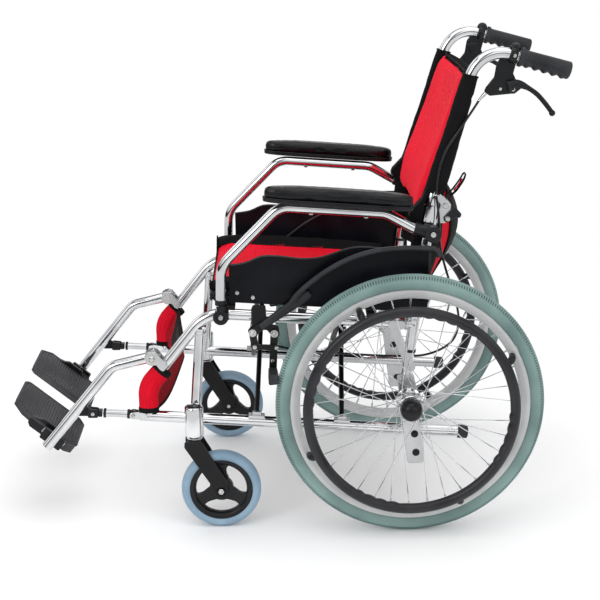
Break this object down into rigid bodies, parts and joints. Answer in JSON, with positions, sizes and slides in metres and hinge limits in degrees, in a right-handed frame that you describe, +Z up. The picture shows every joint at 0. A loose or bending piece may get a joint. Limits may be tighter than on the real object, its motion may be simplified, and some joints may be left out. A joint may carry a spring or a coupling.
{
  "type": "manual wheelchair",
  "caption": "Folding self-propelled wheelchair: tubular side frames on a folding cross, sling seat and back, flip-up arms, spoked wheels with handrims, casters and footplates.",
  "frame": {"origin": "on the floor, at the middle of the chair's length and width", "axes": "-Y towards the front of the chair, +X towards its left side, +Z up"},
  "size_m": [0.69, 1.0881, 0.9377],
  "materials": {
    "frame_aluminium": "satin clear-anodised tube",
    "bright_steel": "polished plate",
    "black_steel": "satin black powder coat",
    "black_plastic": "moulded, fine grain",
    "dark_grey_plastic": "moulded, fine grain",
    "grip_rubber": "matt",
    "grey_tyre": "matt solid tyre",
    "caster_tyre": "matt solid tyre",
    "arm_vinyl": "padded vinyl",
    "red_mesh": "ribbed red mesh with black borders"
  },
  "bodies": {
    "left_frame": {"left_side_frame": "frame_aluminium", "left_tip_cap": "grip_rubber", "left_armrest_knuckle": "black_plastic", "left_armrest_socket": "black_plastic", "left_side_guard": "black_plastic", "left_wheel_lock_plate": "black_steel", "back_lower": "red_mesh", "calf_strap": "red_mesh"},
    "right_frame": {"right_side_frame": "frame_aluminium", "right_tip_cap": "grip_rubber", "right_armrest_knuckle": "black_plastic", "right_armrest_socket": "black_plastic", "right_side_guard": "black_plastic", "right_wheel_lock_plate": "black_steel"},
    "brace_a": {"brace_a": "black_steel"},
    "brace_b": {"brace_b": "black_steel"},
    "seat_sling": {"seat": "red_mesh"},
    "left_wheel": {"left_wheel_rim": "bright_steel", "left_wheel_tyre": "grey_tyre", "left_handrim": "dark_grey_plastic", "left_hub_cap": "black_plastic"},
    "left_caster_fork": {"left_caster_fork": "black_steel"},
    "left_caster_wheel": {"left_caster_wheel": "black_plastic", "left_caster_tyre": "caster_tyre"},
    "left_armrest": {"left_armrest_frame": "bright_steel", "left_armrest_pad": "arm_vinyl"},
    "left_back": {"left_back_post": "frame_aluminium", "left_handle_grip": "grip_rubber", "left_brake_body": "black_plastic", "back_upper": "red_mesh"},
    "left_brake_lever": {"left_brake_lever": "black_plastic"},
    "left_back_latch": {"left_back_latch": "black_plastic"},
    "left_lock_handle": {"left_wheel_lock_handle": "black_steel"},
    "left_lock_arm": {"left_wheel_lock_arm": "black_steel"},
    "left_lock_link": {"left_wheel_lock_link": "black_steel"},
    "left_legrest": {"left_leg_tube": "frame_aluminium"},
    "left_strut_sleeve": {"left_strut_sleeve": "frame_aluminium"},
    "left_strut_rod": {"left_strut_rod": "black_plastic"},
    "left_footplate": {"left_footplate": "dark_grey_plastic"},
    "right_wheel": {"right_wheel_rim": "bright_steel", "right_wheel_tyre": "grey_tyre", "right_handrim": "dark_grey_plastic", "right_hub_cap": "black_plastic"},
    "right_caster_fork": {"right_caster_fork": "black_steel"},
    "right_caster_wheel": {"right_caster_wheel": "black_plastic", "right_caster_tyre": "caster_tyre"},
    "right_armrest": {"right_armrest_frame": "bright_steel", "right_armrest_pad": "arm_vinyl"},
    "right_back": {"right_back_post": "frame_aluminium", "right_handle_grip": "grip_rubber", "right_brake_body": "black_plastic"},
    "right_brake_lever": {"right_brake_lever": "black_plastic"},
    "right_back_latch": {"right_back_latch": "black_plastic"},
    "right_lock_handle": {"right_wheel_lock_handle": "black_steel"},
    "right_lock_arm": {"right_wheel_lock_arm": "black_steel"},
    "right_lock_link": {"right_wheel_lock_link": "black_steel"},
    "right_legrest": {"right_leg_tube": "frame_aluminium"},
    "right_strut_sleeve": {"right_strut_sleeve": "frame_aluminium"},
    "right_strut_rod": {"right_strut_rod": "black_plastic"},
    "right_footplate": {"right_footplate": "dark_grey_plastic"}
  },
  "joints": [
    {"name": "fold", "type": "hinge", "parent": "left_frame", "child": "brace_a", "pos_m": [0.225, 0.2399, 0.1866], "axis": [0, 0.9974, -0.0718], "range_deg": [0, 45], "deforming": ["seat", "back_lower", "back_upper", "calf_strap"]},
    {"name": "cross_pivot", "type": "hinge", "parent": "brace_a", "child": "brace_b", "pos_m": [0, 0.24932, 0.31741], "axis": [0, 0.9974, -0.0718], "range_deg": [-90, 0]},
    {"name": "right_foot_pivot", "type": "hinge", "parent": "brace_b", "child": "right_frame", "pos_m": [-0.225, 0.2399, 0.1866], "axis": [0, 0.9974, -0.0718], "range_deg": [0, 45]},
    {"name": "sling_pivot", "type": "hinge", "parent": "brace_b", "child": "seat_sling", "pos_m": [0.198, 0.25761, 0.43252], "axis": [0, 0.9974, -0.0718], "range_deg": [0, 45]},
    {"name": "left_wheel_spin", "type": "hinge", "parent": "left_frame", "child": "left_wheel", "pos_m": [0.288, 0.2399, 0.26], "axis": [1, 0, 0], "continuous": true},
    {"name": "left_caster_swivel", "type": "hinge", "parent": "left_frame", "child": "left_caster_fork", "pos_m": [0.252, -0.1801, 0.18], "axis": [0, 0, 1], "continuous": true},
    {"name": "left_caster_spin", "type": "hinge", "parent": "left_caster_fork", "child": "left_caster_wheel", "pos_m": [0.252, -0.1301, 0.079], "axis": [1, 0, 0], "continuous": true},
    {"name": "left_armrest_flip", "type": "hinge", "parent": "left_frame", "child": "left_armrest", "pos_m": [0.252, 0.2839, 0.59], "axis": [-1, 0, 0], "range_deg": [0, 90]},
    {"name": "left_back_fold", "type": "hinge", "parent": "left_frame", "child": "left_back", "pos_m": [0.225, 0.3099, 0.64], "axis": [-1, 0, 0], "range_deg": [0, 100]},
    {"name": "left_brake_squeeze", "type": "hinge", "parent": "left_back", "child": "left_brake_lever", "pos_m": [0.23, 0.4329, 0.858], "axis": [1, 0, 0], "range_deg": [0, 16]},
    {"name": "left_back_latch_press", "type": "hinge", "parent": "left_frame", "child": "left_back_latch", "pos_m": [0.233, 0.3139, 0.614], "axis": [-1, 0, 0], "range_deg": [0, 25]},
    {"name": "left_wheel_lock", "type": "hinge", "parent": "left_frame", "child": "left_lock_handle", "pos_m": [0.2509, -0.0621, 0.398], "axis": [1, 0, 0], "range_deg": [-14, 3.5]},
    {"name": "left_lock_arm_pivot", "type": "hinge", "parent": "left_frame", "child": "left_lock_arm", "pos_m": [0.2509, -0.0201, 0.396], "axis": [1, 0, 0], "range_deg": [-14, 3.5]},
    {"name": "left_lock_link_pivot", "type": "hinge", "parent": "left_lock_handle", "child": "left_lock_link", "pos_m": [0.255, -0.0581, 0.371], "axis": [1, 0, 0], "range_deg": [-3.5, 14]},
    {"name": "left_legrest_raise", "type": "hinge", "parent": "left_frame", "child": "left_legrest", "pos_m": [0.225, -0.2591, 0.345], "axis": [-1, 0, 0], "range_deg": [0, 20]},
    {"name": "left_strut_pivot", "type": "hinge", "parent": "left_frame", "child": "left_strut_sleeve", "pos_m": [0.225, -0.3011, 0.227], "axis": [-1, 0, 0], "range_deg": [0, 23]},
    {"name": "left_strut_slide", "type": "slide", "parent": "left_strut_sleeve", "child": "left_strut_rod", "axis": [0, -0.998, 0.0632], "range_m": [0, 0.0435]},
    {"name": "left_footplate_flip", "type": "hinge", "parent": "left_legrest", "child": "left_footplate", "pos_m": [0.2, -0.46553, 0.17355], "axis": [0, 0.77, -0.6381], "range_deg": [0, 90]},
    {"name": "right_wheel_spin", "type": "hinge", "parent": "right_frame", "child": "right_wheel", "pos_m": [-0.288, 0.2399, 0.26], "axis": [1, 0, 0], "continuous": true},
    {"name": "right_caster_swivel", "type": "hinge", "parent": "right_frame", "child": "right_caster_fork", "pos_m": [-0.252, -0.1801, 0.18], "axis": [0, 0, 1], "continuous": true},
    {"name": "right_caster_spin", "type": "hinge", "parent": "right_caster_fork", "child": "right_caster_wheel", "pos_m": [-0.252, -0.1301, 0.079], "axis": [1, 0, 0], "continuous": true},
    {"name": "right_armrest_flip", "type": "hinge", "parent": "right_frame", "child": "right_armrest", "pos_m": [-0.252, 0.2839, 0.59], "axis": [-1, 0, 0], "range_deg": [0, 90]},
    {"name": "right_back_fold", "type": "hinge", "parent": "right_frame", "child": "right_back", "pos_m": [-0.225, 0.3099, 0.64], "axis": [-1, 0, 0], "range_deg": [0, 100]},
    {"name": "right_brake_squeeze", "type": "hinge", "parent": "right_back", "child": "right_brake_lever", "pos_m": [-0.23, 0.4329, 0.858], "axis": [1, 0, 0], "range_deg": [0, 16]},
    {"name": "right_back_latch_press", "type": "hinge", "parent": "right_frame", "child": "right_back_latch", "pos_m": [-0.233, 0.3139, 0.614], "axis": [-1, 0, 0], "range_deg": [0, 25]},
    {"name": "right_wheel_lock", "type": "hinge", "parent": "right_frame", "child": "right_lock_handle", "pos_m": [-0.2509, -0.0621, 0.398], "axis": [1, 0, 0], "range_deg": [-14, 3.5]},
    {"name": "right_lock_arm_pivot", "type": "hinge", "parent": "right_frame", "child": "right_lock_arm", "pos_m": [-0.2509, -0.0201, 0.396], "axis": [1, 0, 0], "range_deg": [-14, 3.5]},
    {"name": "right_lock_link_pivot", "type": "hinge", "parent": "right_lock_handle", "child": "right_lock_link", "pos_m": [-0.255, -0.0581, 0.371], "axis": [1, 0, 0], "range_deg": [-3.5, 14]},
    {"name": "right_legrest_raise", "type": "hinge", "parent": "right_frame", "child": "right_legrest", "pos_m": [-0.225, -0.2591, 0.345], "axis": [-1, 0, 0], "range_deg": [0, 20]},
    {"name": "right_strut_pivot", "type": "hinge", "parent": "right_frame", "child": "right_strut_sleeve", "pos_m": [-0.225, -0.3011, 0.227], "axis": [-1, 0, 0], "range_deg": [0, 23]},
    {"name": "right_strut_slide", "type": "slide", "parent": "right_strut_sleeve", "child": "right_strut_rod", "axis": [0, -0.998, 0.0632], "range_m": [0, 0.0435]},
    {"name": "right_footplate_flip", "type": "hinge", "parent": "right_legrest", "child": "right_footplate", "pos_m": [-0.2, -0.46553, 0.17355], "axis": [0, -0.77, 0.6381], "range_deg": [0, 90]}
  ],
  "couplings": [
    {"joint": "cross_pivot", "follows": "fold", "ratio": -2},
    {"joint": "right_foot_pivot", "follows": "fold", "ratio": 1},
    {"joint": "sling_pivot", "follows": "fold", "ratio": 1},
    {"joint": "left_lock_arm_pivot", "follows": "left_wheel_lock", "ratio": 1},
    {"joint": "left_lock_link_pivot", "follows": "left_wheel_lock", "ratio": -1},
    {"joint": "left_strut_pivot", "follows": "left_legrest_raise", "ratio": 1.15},
    {"joint": "left_strut_slide", "follows": "left_legrest_raise", "m_per_rad": 0.1244},
    {"joint": "left_footplate_flip", "follows": "fold", "ratio": 2},
    {"joint": "right_back_fold", "follows": "left_back_fold", "ratio": 1},
    {"joint": "right_lock_arm_pivot", "follows": "right_wheel_lock", "ratio": 1},
    {"joint": "right_lock_link_pivot", "follows": "right_wheel_lock", "ratio": -1},
    {"joint": "right_strut_pivot", "follows": "right_legrest_raise", "ratio": 1.15},
    {"joint": "right_strut_slide", "follows": "right_legrest_raise", "m_per_rad": 0.1244},
    {"joint": "right_footplate_flip", "follows": "fold", "ratio": 2}
  ]
}
